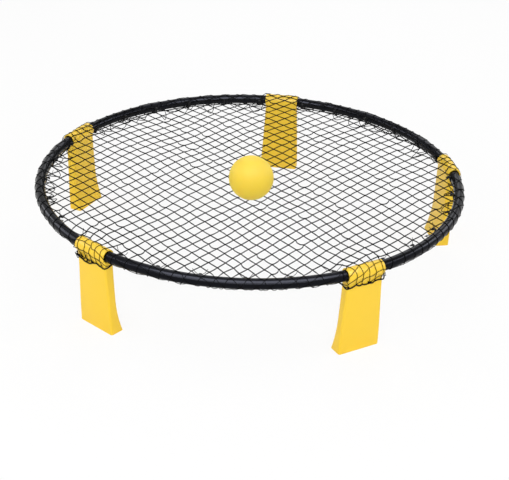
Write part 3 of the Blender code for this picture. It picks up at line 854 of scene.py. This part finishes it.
class ROUNDNET_OT_net(bpy.types.Operator):
    """The knotted net: zigzag strands, a knot at every crossing, laid over the rim"""

    bl_idname = "roundnet.net"
    bl_label = "Net"

    def lattice(self, scene, course):
        """Flat places of the knots, by column and row, with a knot under the ball."""
        net = scene.roundnet_net
        chance = Random(net.seed)
        # noise_vector has a seed of its own, which the clock sets unless it is set here to more than 0.
        noise.seed_set(net.seed + 1)
        limit = course.ring + course.reach + net.diagonal_y + net.gather / 2
        rows = {0: course.ball.y}
        for way in (1, -1):
            row, y = 0, course.ball.y
            while abs(y) < limit:
                spacing = net.diagonal_y + net.diagonal_y_spread * (y / course.ring) ** 2
                y += way * spacing / 2
                row += way
                rows[row] = y
        knots = {}
        for row, y in rows.items():
            spacing = net.diagonal_x + net.diagonal_x_spread * y / course.ring
            columns = ceil(2 * limit / spacing)
            for column in range(-columns, columns + 1):
                if (row + column) % 2:
                    continue
                spot = self.strayed(net, chance, course.ball.x + column * spacing / 2, y)
                if row == 0 and column == 0:
                    spot = course.ball.copy()
                knots[column, row] = self.gathered(course, net, spot)
        return knots

    def strayed(self, net, chance, x, y):
        """A knot of the even mesh, moved with its patch, with its neighbours and by itself."""
        near_rim = ease((hypot(x, y) - STRAY_START) / STRAY_WIDTH)
        neighbour_waves, patch_waves = 9, 4.5
        neighbours = noise.noise_vector(Vector((x, y, 0.37)) * neighbour_waves).xy
        patch = noise.noise_vector(Vector((patch_waves * x, patch_waves * y, 2.6))).xy
        spot = Vector((x, y)) + neighbours * net.wander * 1.6
        spot += patch * net.warp * (1 - 0.6 * near_rim)
        alone = Vector((chance.uniform(-1, 1), chance.uniform(-1, 1)))
        return spot + alone * (net.wander * (0.35 + 0.55 * near_rim))

    def gathered(self, course, net, spot):
        """Draws the mesh together where it passes over a leg, to these shares of its size."""
        shorter, narrower = 0.78, 0.68
        bearing, spread = atan2(spot.y, spot.x), spot.length
        leg = min(LEG_BEARINGS, key=lambda of_leg: abs(signed(bearing - of_leg)))
        aside = signed(bearing - leg) * course.ring
        start = course.ring - net.gather * 0.7
        share = ease((spread - start) / net.gather) * (1 - ease((abs(aside) - course.side) / net.gather))
        if spread > start:
            spread = mix(spread, start + (spread - start) * shorter, share)
        return polar(spread, leg + aside / course.ring * mix(1.0, narrower, share))

    def bar(self, course, chance, first, second):
        """Flat points from one knot to the next, or to the net's edge, and where it was cut."""
        inside = [spot.length < course.edge_from(spot) for spot in (first, second)]
        if not any(inside):
            return [], None
        start, stop, cut_end = 0.0, 1.0, None
        if not all(inside):
            low, high = (0.0, 1.0) if inside[0] else (1.0, 0.0)
            for _ in range(24):
                middle = (low + high) / 2
                spot = first.lerp(second, middle)
                if spot.length < course.edge_from(spot):
                    low = middle
                else:
                    high = middle
            cut_end = first.lerp(second, low)
            start, stop = (0.0, low) if inside[0] else (low, 1.0)
        past_top = max(first.length, second.length) > course.ring
        length = (second - first).length * (stop - start)
        steps = max(1, ceil(length / (RIM_STEP if past_top else OPEN_STEP)))
        sideways = Vector((first.y - second.y, second.x - first.x)).normalized()
        bulge = chance.gauss(0, BEND)
        if chance.random() < (LOOSE_NEAR_RIM if past_top else LOOSE_INSIDE):
            bulge = chance.choice((-1, 1)) * chance.uniform(*LOOSE_BEND)
        sag = 0.0 if past_top else -0.6 * abs(bulge)
        points = []
        for k in range(steps + 1):
            t = mix(start, stop, k / steps)
            bow = sin(pi * t)
            spot = first.lerp(second, t) + sideways * bulge * bow
            points.append((spot.x, spot.y, sag * bow))
        return points, cut_end

    def execute(self, context):
        scene = context.scene
        net = scene.roundnet_net
        course = Course(scene, net.strand / 2)
        knots = self.lattice(scene, course)
        chance = Random(net.seed + 1)
        curve = new_cord("net_strands", net.strand / 2, 1)
        curve.use_fill_caps = True
        ends = []
        rows = sorted({row for _, row in knots})
        for row in rows[:-1]:
            columns = sorted(c for c, r in knots if r in (row, row + 1))
            line = []
            for column in range(columns[0], columns[-1]):
                here = row if (row + column) % 2 == 0 else row + 1
                there = 2 * row + 1 - here
                first, second = knots.get((column, here)), knots.get((column + 1, there))
                if first is None or second is None:
                    continue
                points, cut_end = self.bar(course, chance, first, second)
                if cut_end is not None:
                    ends.append(cut_end)
                line += points if not line else points[1:]
                if line and (not points or (cut_end is not None and second.length > first.length)):
                    self.add_strand(curve, course, line)
                    line = []
            if line:
                self.add_strand(curve, course, line)
        self.add_edge_loops(curve, course, ends, net, chance)
        self.add_bunch(curve, course, net, chance)
        self.add_caught_strands(curve, course, scene, chance)
        item = cord_mesh(curve, "knotted_net")
        tied = self.add_knots(course, knots, ends, net, chance)
        only(item)
        tied.select_set(True)
        bpy.ops.object.join()
        bpy.ops.object.shade_smooth()
        scene["net_edge"] = [value for end in ends for value in (end.x, end.y)]
        dress(item, RIM, "net", finish(scene, "net"))
        return {"FINISHED"}

    def add_strand(self, curve, course, line):
        if len(line) < 2:
            return
        spline = curve.splines.new("POLY")
        spline.points.add(len(line) - 1)
        for slot, (x, y, lift) in zip(spline.points, line):
            slot.radius = course.thickness(hypot(x, y))
            slot.co = (*course.place(x, y, lift - course.radius * (1 - slot.radius)), 1.0)

    def add_edge_loops(self, curve, course, ends, net, chance):
        """Slack half meshes past the edge cord, lying inwards below the net."""
        widest, left_out = 0.06, 0.4
        bearings = sorted(atan2(end.y, end.x) for end in ends)
        for bearing, following in zip(bearings, bearings[2:]):
            on_leg = course.leg_share((bearing + following) / 2) > 0.3
            too_wide = (following - bearing) * course.ring > widest
            if on_leg or too_wide or chance.random() < left_out:
                continue
            length = net.loop * chance.uniform(0.25, 1.1)
            droop = chance.uniform(0.1, 0.5)
            lean, curl = chance.uniform(-0.3, 0.3), chance.uniform(-0.0025, 0.0025)
            line = []
            for k in range(11):
                t = k / 10
                bow = sin(pi * t) ** 0.8
                angle = mix(bearing, following, t + lean * sin(tau * t) * 0.5)
                start = course.place_at(course.ring + course.edge_past(angle), angle)
                wave = curl * sin(3 * pi * t)
                inwards = Vector((-cos(angle), -sin(angle), 0))
                down = Vector((0, 0, length * droop * bow - wave))
                line.append(start + inwards * (length * bow + wave) - down)
            add_line(curve, line, thickness=0.75)

    def add_bunch(self, curve, course, net, chance):
        """Loops of gathered net on the front left leg."""
        loops, points = 7, 9
        for _ in range(loops):
            aside = chance.uniform(-1.0, 1.0) * net.bunch_width
            width = chance.uniform(0.010, 0.019)
            top = net.reach + chance.uniform(-0.017, 0.0)
            deep = chance.uniform(0.005, 0.013)
            line = []
            for k in range(points):
                t = k / (points - 1)
                bearing = course.bunched + (aside + width * (t - 0.5)) / course.ring
                spread = course.ring + top + deep * sin(pi * t)
                line.append(course.place_at(spread, bearing, net.strand * 0.9))
            add_line(curve, line, thickness=0.62)

    def add_caught_strands(self, curve, course, scene, chance):
        """At each hook, strands of the net drawn down into the bight from both sides."""
        hook = scene.roundnet_hook
        bight = scene.roundnet_rim.tube_radius + hook.clearance + hook.thickness / 2 + hook.bight
        deep, up = bight * sin(hook.spine_end), bight * cos(hook.spine_end) + course.radius
        apart, sag = 0.0022, 0.003
        for bearing in hook_bearings():
            along = Vector((-sin(bearing), cos(bearing), 0))
            for way in (-1, 1):
                far = chance.uniform(0.016, 0.026)
                aside = way * chance.uniform(0.010, 0.020)
                start = polar(course.ring - far, bearing) + along.xy * aside
                top = course.place(start.x, start.y)
                low = polar(course.ring + deep, bearing, course.height + up)
                sideways = along * way * apart
                line = []
                for k in range(8):
                    t = k / 7
                    spot = top.lerp(low + sideways * (1 - t), t)
                    spot.z -= sag * sin(pi * t) * chance.uniform(0.6, 1.2)
                    line.append(spot)
                line.append(low - sideways)
                add_line(curve, line, scene.roundnet_net.taut)

    def hitches(self, course, net):
        """Flat places of the lumps that tie the net's edge to the cord, on both sides of a hook."""
        spread = course.ring + course.reach + net.hitch / 2
        aside = net.hitch * 0.9 / course.ring
        return [polar(spread, bearing + way * aside) for bearing in hook_bearings() for way in (-1, 1)]

    def add_knots(self, course, knots, ends, net, chance):
        """A small tied lump at every crossing, lying along the surface."""
        start_fresh()
        bpy.ops.mesh.primitive_uv_sphere_add(segments=6, ring_count=4, radius=0.5)
        lump = named("knot_pattern")
        spots = [spot for spot in knots.values() if spot.length < course.edge_from(spot)]
        bm = bmesh.new()
        for spot in spots + ends + self.hitches(course, net):
            here = course.place(spot.x, spot.y)
            ahead = course.place(spot.x + 0.001, spot.y)
            beside = course.place(spot.x, spot.y + 0.001)
            along = (ahead - here).normalized()
            up = along.cross(beside - here).normalized()
            turned = Matrix.Rotation(chance.uniform(0, pi), 3, up) @ along
            axes = Matrix((turned, up.cross(turned), up)).transposed()
            length = net.knot * chance.uniform(0.85, 1.15) * course.thickness(spot.length)
            if spot.length > course.ring + course.reach + net.strand:
                length = net.hitch * chance.uniform(0.8, 1.2)
            shape = Matrix.Diagonal([length * share for share in KNOT_SHAPE])
            before = len(bm.verts)
            bm.from_mesh(lump.data)
            bm.verts.ensure_lookup_table()
            place = Matrix.Translation(here) @ (axes @ shape).to_4x4()
            bmesh.ops.transform(bm, matrix=place, verts=bm.verts[before:])
        mesh = bpy.data.meshes.new("net_knots")
        bm.to_mesh(mesh)
        bm.free()
        drop(lump)
        return new_object("net_knots", mesh)


class ROUNDNET_OT_edge_cord(bpy.types.Operator):
    """One closed elastic cord through the net's edge"""

    bl_idname = "roundnet.edge_cord"
    bl_label = "Edge cord"

    def execute(self, context):
        scene = context.scene
        cord, net = scene.roundnet_cord, scene.roundnet_net
        radius = cord.diameter / 2
        course = Course(scene, radius)
        flat = list(scene["net_edge"])
        bearings = sorted(atan2(y, x) % tau for x, y in zip(flat[::2], flat[1::2]))
        beside_strand = net.strand / 2 + radius
        # Between strands this close the cord lies straight, and from this wide on it hangs fully.
        close, wide = 0.006, 0.018
        points = []
        for bearing, following in zip(bearings, bearings[1:] + [bearings[0] + tau]):
            points.append(self.cord_point(course, bearing, beside_strand))
            gap = following - bearing
            if gap * course.ring > close:
                share = course.leg_share(bearing + gap / 2)
                hang = cord.scallop * mix(0.25, 1.0, share) * min(gap * course.ring / wide, 1.0)
                points.append(self.cord_point(course, bearing + gap / 2, beside_strand + hang))
        curve = new_cord("edge_cord_line", radius, 3)
        curve.resolution_u = 3
        spline = add_line(curve, points, 1.0, "NURBS")
        spline.order_u = 3
        spline.use_cyclic_u = True
        item = cord_mesh(curve, "braided_edge_cord")
        bpy.ops.object.shade_smooth()
        dress(item, RIM, "edge_cord", finish(scene, "cord"))
        return {"FINISHED"}

    def cord_point(self, course, bearing, further):
        return course.place_at(course.ring + course.edge_past(bearing) + further, bearing)


class ROUNDNET_OT_net_hooks(bpy.types.Operator):
    """Thirty clips that hold the edge cord and catch the net inside the rim"""

    bl_idname = "roundnet.net_hooks"
    bl_label = "Net hooks"

    def execute(self, context):
        scene = context.scene
        rim, hook = scene.roundnet_rim, scene.roundnet_hook
        cord_radius = scene.roundnet_cord.diameter / 2
        course = Course(scene, cord_radius)
        cord_x, cord_z = course.on_tube(course.reach_to_cord, 0.0)
        cradle = cord_radius + hook.clearance + hook.thickness / 2
        spine = rim.tube_radius + hook.clearance + hook.thickness / 2

        def on_cradle(angle):
            return Vector((cord_x + cradle * cos(angle), 0, cord_z + cradle * sin(angle)))

        def round_tube(spread, angle):
            return Vector((spread * sin(angle), 0, spread * cos(angle)))

        # The cradle starts on the cord's outer side, and the spine goes on from it before it is all round.
        spine_begins, past_cradle, bight_turn = 0.78, radians(14), radians(195)
        first = atan2(cord_z, cord_x) + hook.cradle * 0.5
        last = first - hook.cradle * spine_begins
        start_fresh()
        bpy.ops.mesh.primitive_plane_add(size=1.0)
        item = named("hook_pattern")
        item.scale = (hook.thickness, hook.width, 1)
        item.location = on_cradle(first)
        item.rotation_euler = (0, -first, 0)
        settle(item)
        select_whole(item)
        bpy.ops.mesh.spin(steps=9, angle=last - first, center=(cord_x, 0, cord_z), axis=(0, 1, 0))
        end = on_cradle(last)
        spine_start = (pi / 2 - atan2(end.z, end.x)) % tau + past_cradle
        target = round_tube(spine, spine_start)
        bpy.ops.mesh.extrude_region_move(TRANSFORM_OT_translate={"value": target - end})
        self.swing(target, signed(pi / 2 - last - spine_start))
        spine_sweep = hook.spine_end - spine_start
        bpy.ops.mesh.spin(steps=6, angle=-spine_sweep, center=(0, 0, 0), axis=(0, 1, 0))
        bight = round_tube(spine + hook.bight, hook.spine_end)
        bpy.ops.mesh.spin(steps=8, angle=bight_turn, center=bight, axis=(0, 1, 0))
        close_up()
        round_off(item, hook.rounding, 2, 50)
        smooth(item, 40)
        material = finish(scene, "hook")
        for node, bearing in zip(HOOKS, hook_bearings()):
            ring = Matrix.Rotation(bearing, 4, "Z") @ Matrix.Translation((rim.ring_radius, 0, rim.height))
            dress(copy_of(item, "clip_" + node, ring), RIM, node, material)
        drop(item)
        return {"FINISHED"}

    def swing(self, centre, angle):
        """Turns the selected end face about its own middle."""
        mesh = bpy.context.edit_object.data
        bm = bmesh.from_edit_mesh(mesh)
        chosen = [vert for vert in bm.verts if vert.select]
        bmesh.ops.rotate(bm, verts=chosen, cent=centre, matrix=Matrix.Rotation(-angle, 3, "Y"))
        bmesh.update_edit_mesh(mesh)


class ROUNDNET_OT_ball(bpy.types.Operator):
    """The ball with its valve hole and plug"""

    bl_idname = "roundnet.ball"
    bl_label = "Ball"

    def execute(self, context):
        scene = context.scene
        sizes = scene.roundnet_ball
        middle = (BALL_LOW + BALL_HIGH) / 2
        radius = (BALL_HIGH.x - BALL_LOW.x) / 2
        mouth = ((VALVE_LOW + VALVE_HIGH) / 2 - middle).normalized()
        place = Matrix.Translation(middle) @ mouth.to_track_quat("Z", "Y").to_matrix().to_4x4()
        start_fresh()
        bpy.ops.mesh.primitive_uv_sphere_add(segments=96, ring_count=64, radius=radius)
        ball = named("rubber_ball")
        hole = sizes.valve / 2 + 0.0003
        opened, lip = sizes.dimple * 0.6, hole * 1.12
        select_where(ball, "VERT", lambda vert: vert.co.z > 0 and vert.co.xy.length < opened)
        bpy.ops.mesh.delete(type="VERT")
        select_where(ball, "EDGE", lambda edge: edge.is_boundary)
        for ring_radius, depth in ((lip, 0.0002), (hole, 0.0008), (hole, sizes.wall)):
            self.draw_in(ring_radius, depth, radius)
        bpy.ops.mesh.edge_face_add()
        close_up(merge=False)
        ball.data.transform(place)
        smooth(ball, 40)
        dress(ball, "ball", "ball", finish(scene, "ball"))
        start_fresh()
        bpy.ops.mesh.primitive_cylinder_add(vertices=40, radius=sizes.valve / 2, depth=0.8 * sizes.wall)
        plug = named("rubber_valve_plug")
        plug.location = (0, 0, radius - 0.6 * sizes.wall)
        settle(plug)
        select_where(plug, "FACE", lambda face: face.normal.z > 0.9)
        for share, depth in ((0.16, 0.0), (0.20, -0.0004), (0.05, -0.0008)):
            bpy.ops.mesh.inset(thickness=sizes.valve * share, depth=depth)
        bpy.ops.object.mode_set(mode="OBJECT")
        round_off(plug, 0.0003, 3)
        plug.data.transform(place)
        smooth(plug, 40)
        dress(plug, "ball", "ball_valve", finish(scene, "valve"))
        return {"FINISHED"}

    def draw_in(self, ring_radius, depth, ball_radius):
        """Extrudes the open edge to a smaller circle, this deep in the ball."""
        bpy.ops.mesh.extrude_edges_move()
        mesh = bpy.context.edit_object.data
        bm = bmesh.from_edit_mesh(mesh)
        for vert in bm.verts:
            if vert.select:
                flat = vert.co.xy.normalized() * ring_radius
                vert.co = (*flat, sqrt(ball_radius**2 - ring_radius**2) - depth)
        bmesh.update_edit_mesh(mesh)


class ROUNDNET_OT_stage(bpy.types.Operator):
    """Floor, daylight, lamps and the photograph's camera"""

    bl_idname = "roundnet.stage"
    bl_label = "Stage"

    def floor_material(self):
        """Nearly white, and kept white for the camera apart from the shadow."""
        made, tree, shader = new_material("white_floor")
        plain = {"Base Color": (0.93, 0.93, 0.93, 1.0), "Roughness": 0.9, "Specular IOR Level": 0.1}
        for key, value in plain.items():
            feed(tree, shader.inputs[key], value)
        share = calculate(tree, "MULTIPLY", self.seen_in(tree), 0.88)
        glow = add_node(tree, "ShaderNodeEmission").outputs[0]
        blend = add_node(tree, "ShaderNodeMixShader", {0: share, 1: shader.outputs[0], 2: glow})
        feed(tree, tree.nodes["Material Output"].inputs["Surface"], blend.outputs[0])
        return made

    def seen_in(self, tree):
        """1 for what the camera sees directly, in a gloss or through glass."""
        path = add_node(tree, "ShaderNodeLightPath").outputs
        seen = calculate(tree, "MAXIMUM", path["Is Camera Ray"], path["Is Glossy Ray"])
        return calculate(tree, "MAXIMUM", seen, path["Is Transmission Ray"])

    def daylight(self, scene):
        """A white room that lights the set less than it shows."""
        scene.world = bpy.data.worlds.new("studio")
        scene.world.use_nodes = True
        tree = scene.world.node_tree
        lighting, showing = 0.47, 1.0
        inputs = {0: self.seen_in(tree), 2: lighting, 3: showing}
        strength = add_node(tree, "ShaderNodeMix", inputs, data_type="FLOAT").outputs[0]
        sky = tree.nodes["Background"].inputs
        feed(tree, sky["Color"], (1.0, 1.0, 1.0, 1.0))
        feed(tree, sky["Strength"], strength)

    def add_lamp(self, name, place, aim, width, depth, power, gloss_only=False):
        data = bpy.data.lights.new(name, "AREA")
        data.shape = "RECTANGLE"
        data.size = width
        data.size_y = depth
        data.energy = power
        lamp = new_object(name, data)
        lamp.location = place
        lamp.rotation_euler = (Vector(aim) - Vector(place)).to_track_quat("-Z", "Y").to_euler()
        lamp.visible_camera = False
        lamp.visible_diffuse = not gloss_only

    def camera(self, scene):
        stage, rim = scene.roundnet_stage, scene.roundnet_rim
        back = Vector((0, -cos(stage.elevation), sin(stage.elevation)))
        right = Vector((1, 0, 0))
        up = back.cross(right)
        rolled_right = right * cos(stage.roll) + up * sin(stage.roll)
        rolled_up = up * cos(stage.roll) - right * sin(stage.roll)
        axes = Matrix((rolled_right, rolled_up, back)).transposed().to_4x4()
        aim = Vector((stage.aim_x, stage.aim_y, rim.height))
        data = bpy.data.cameras.new("photograph")
        data.sensor_width = 36.0
        data.lens = stage.lens
        data.shift_x = stage.shift_x
        data.shift_y = stage.shift_y
        data.clip_end = 200
        scene.camera = new_object("photograph", data)
        scene.camera.matrix_world = Matrix.Translation(aim + back * stage.distance) @ axes

    def execute(self, context):
        scene = context.scene
        start_fresh()
        bpy.ops.mesh.primitive_plane_add(size=scene.roundnet_stage.floor)
        floor = named("floor")
        floor.data.materials.append(self.floor_material())
        self.daylight(scene)
        self.add_lamp("front", (-0.2, -2.3, 1.3), (0, 0, 0.1), 3.2, 0.4, 27)
        self.add_lamp("left", (-2.3, -0.3, 1.7), (0, 0, 0.1), 2.4, 0.2, 13.5)
        self.add_lamp("right", (2.3, -0.4, 1.6), (0, 0, 0.1), 2.4, 0.2, 15)
        self.add_lamp("back", (0.3, 2.2, 1.8), (0, 0, 0.15), 1.6, 1.0, 13)
        self.add_lamp("top", (0, 0.2, 2.6), (0, 0.2, 0), 2.4, 2.4, 10)
        self.add_lamp("softbox above", (0, -1.4, 2.45), (0, 0, 0.1), 3.8, 2.0, 220, gloss_only=True)
        self.add_lamp("softbox left", (-2.4, 0.7, 1.0), (-0.3, -0.2, 0.17), 1.5, 0.8, 22, gloss_only=True)
        self.add_lamp("softbox right", (2.3, 0.9, 1.3), (0.3, -0.2, 0.17), 1.5, 0.8, 22, gloss_only=True)
        self.camera(scene)
        scene.view_settings.view_transform = "Standard"
        return {"FINISHED"}


class ROUNDNET_PT_panel(bpy.types.Panel):
    """Builds the set, group by group"""

    bl_label = "Roundnet set"
    bl_idname = "ROUNDNET_PT_panel"
    bl_space_type = "VIEW_3D"
    bl_region_type = "UI"
    bl_category = "Roundnet"

    def draw(self, context):
        layout = self.layout
        for label, name, _, operators in GROUPS:
            box = layout.box()
            box.label(text=label)
            sizes = getattr(context.scene, name)
            for key in sizes.bl_rna.properties.keys():
                if key not in ("rna_type", "name"):
                    box.prop(sizes, key)
            for operator in operators:
                box.operator(operator.bl_idname)


# Heading in the panel, name on the scene, sizes and operators
GROUPS = (
    ("Stage", "roundnet_stage", StageSizes, (ROUNDNET_OT_stage,)),
    ("Rim", "roundnet_rim", RimSizes, (ROUNDNET_OT_rim_tubes,)),
    ("Legs", "roundnet_leg", LegSizes, (ROUNDNET_OT_legs,)),
    ("Net", "roundnet_net", NetSizes, (ROUNDNET_OT_net,)),
    ("Edge cord", "roundnet_cord", CordSizes, (ROUNDNET_OT_edge_cord,)),
    ("Hooks", "roundnet_hook", HookSizes, (ROUNDNET_OT_net_hooks,)),
    ("Ball", "roundnet_ball", BallSizes, (ROUNDNET_OT_ball,)),
    ("Finishes", "roundnet_finish", Finishes, ()),
)


def register():
    for _, name, sizes, operators in GROUPS:
        for kind in (sizes, *operators):
            bpy.utils.register_class(kind)
        setattr(bpy.types.Scene, name, PointerProperty(type=sizes))
    bpy.utils.register_class(ROUNDNET_PT_panel)


def unregister():
    bpy.utils.unregister_class(ROUNDNET_PT_panel)
    for _, name, sizes, operators in reversed(GROUPS):
        delattr(bpy.types.Scene, name)
        for kind in (*operators, sizes):
            bpy.utils.unregister_class(kind)


def main():
    register()
    bpy.ops.roundnet.stage()
    bpy.ops.roundnet.rim_tubes()
    bpy.ops.roundnet.legs()
    bpy.ops.roundnet.net()
    bpy.ops.roundnet.edge_cord()
    bpy.ops.roundnet.net_hooks()
    bpy.ops.roundnet.ball()


if __name__ == "__main__":
    main()
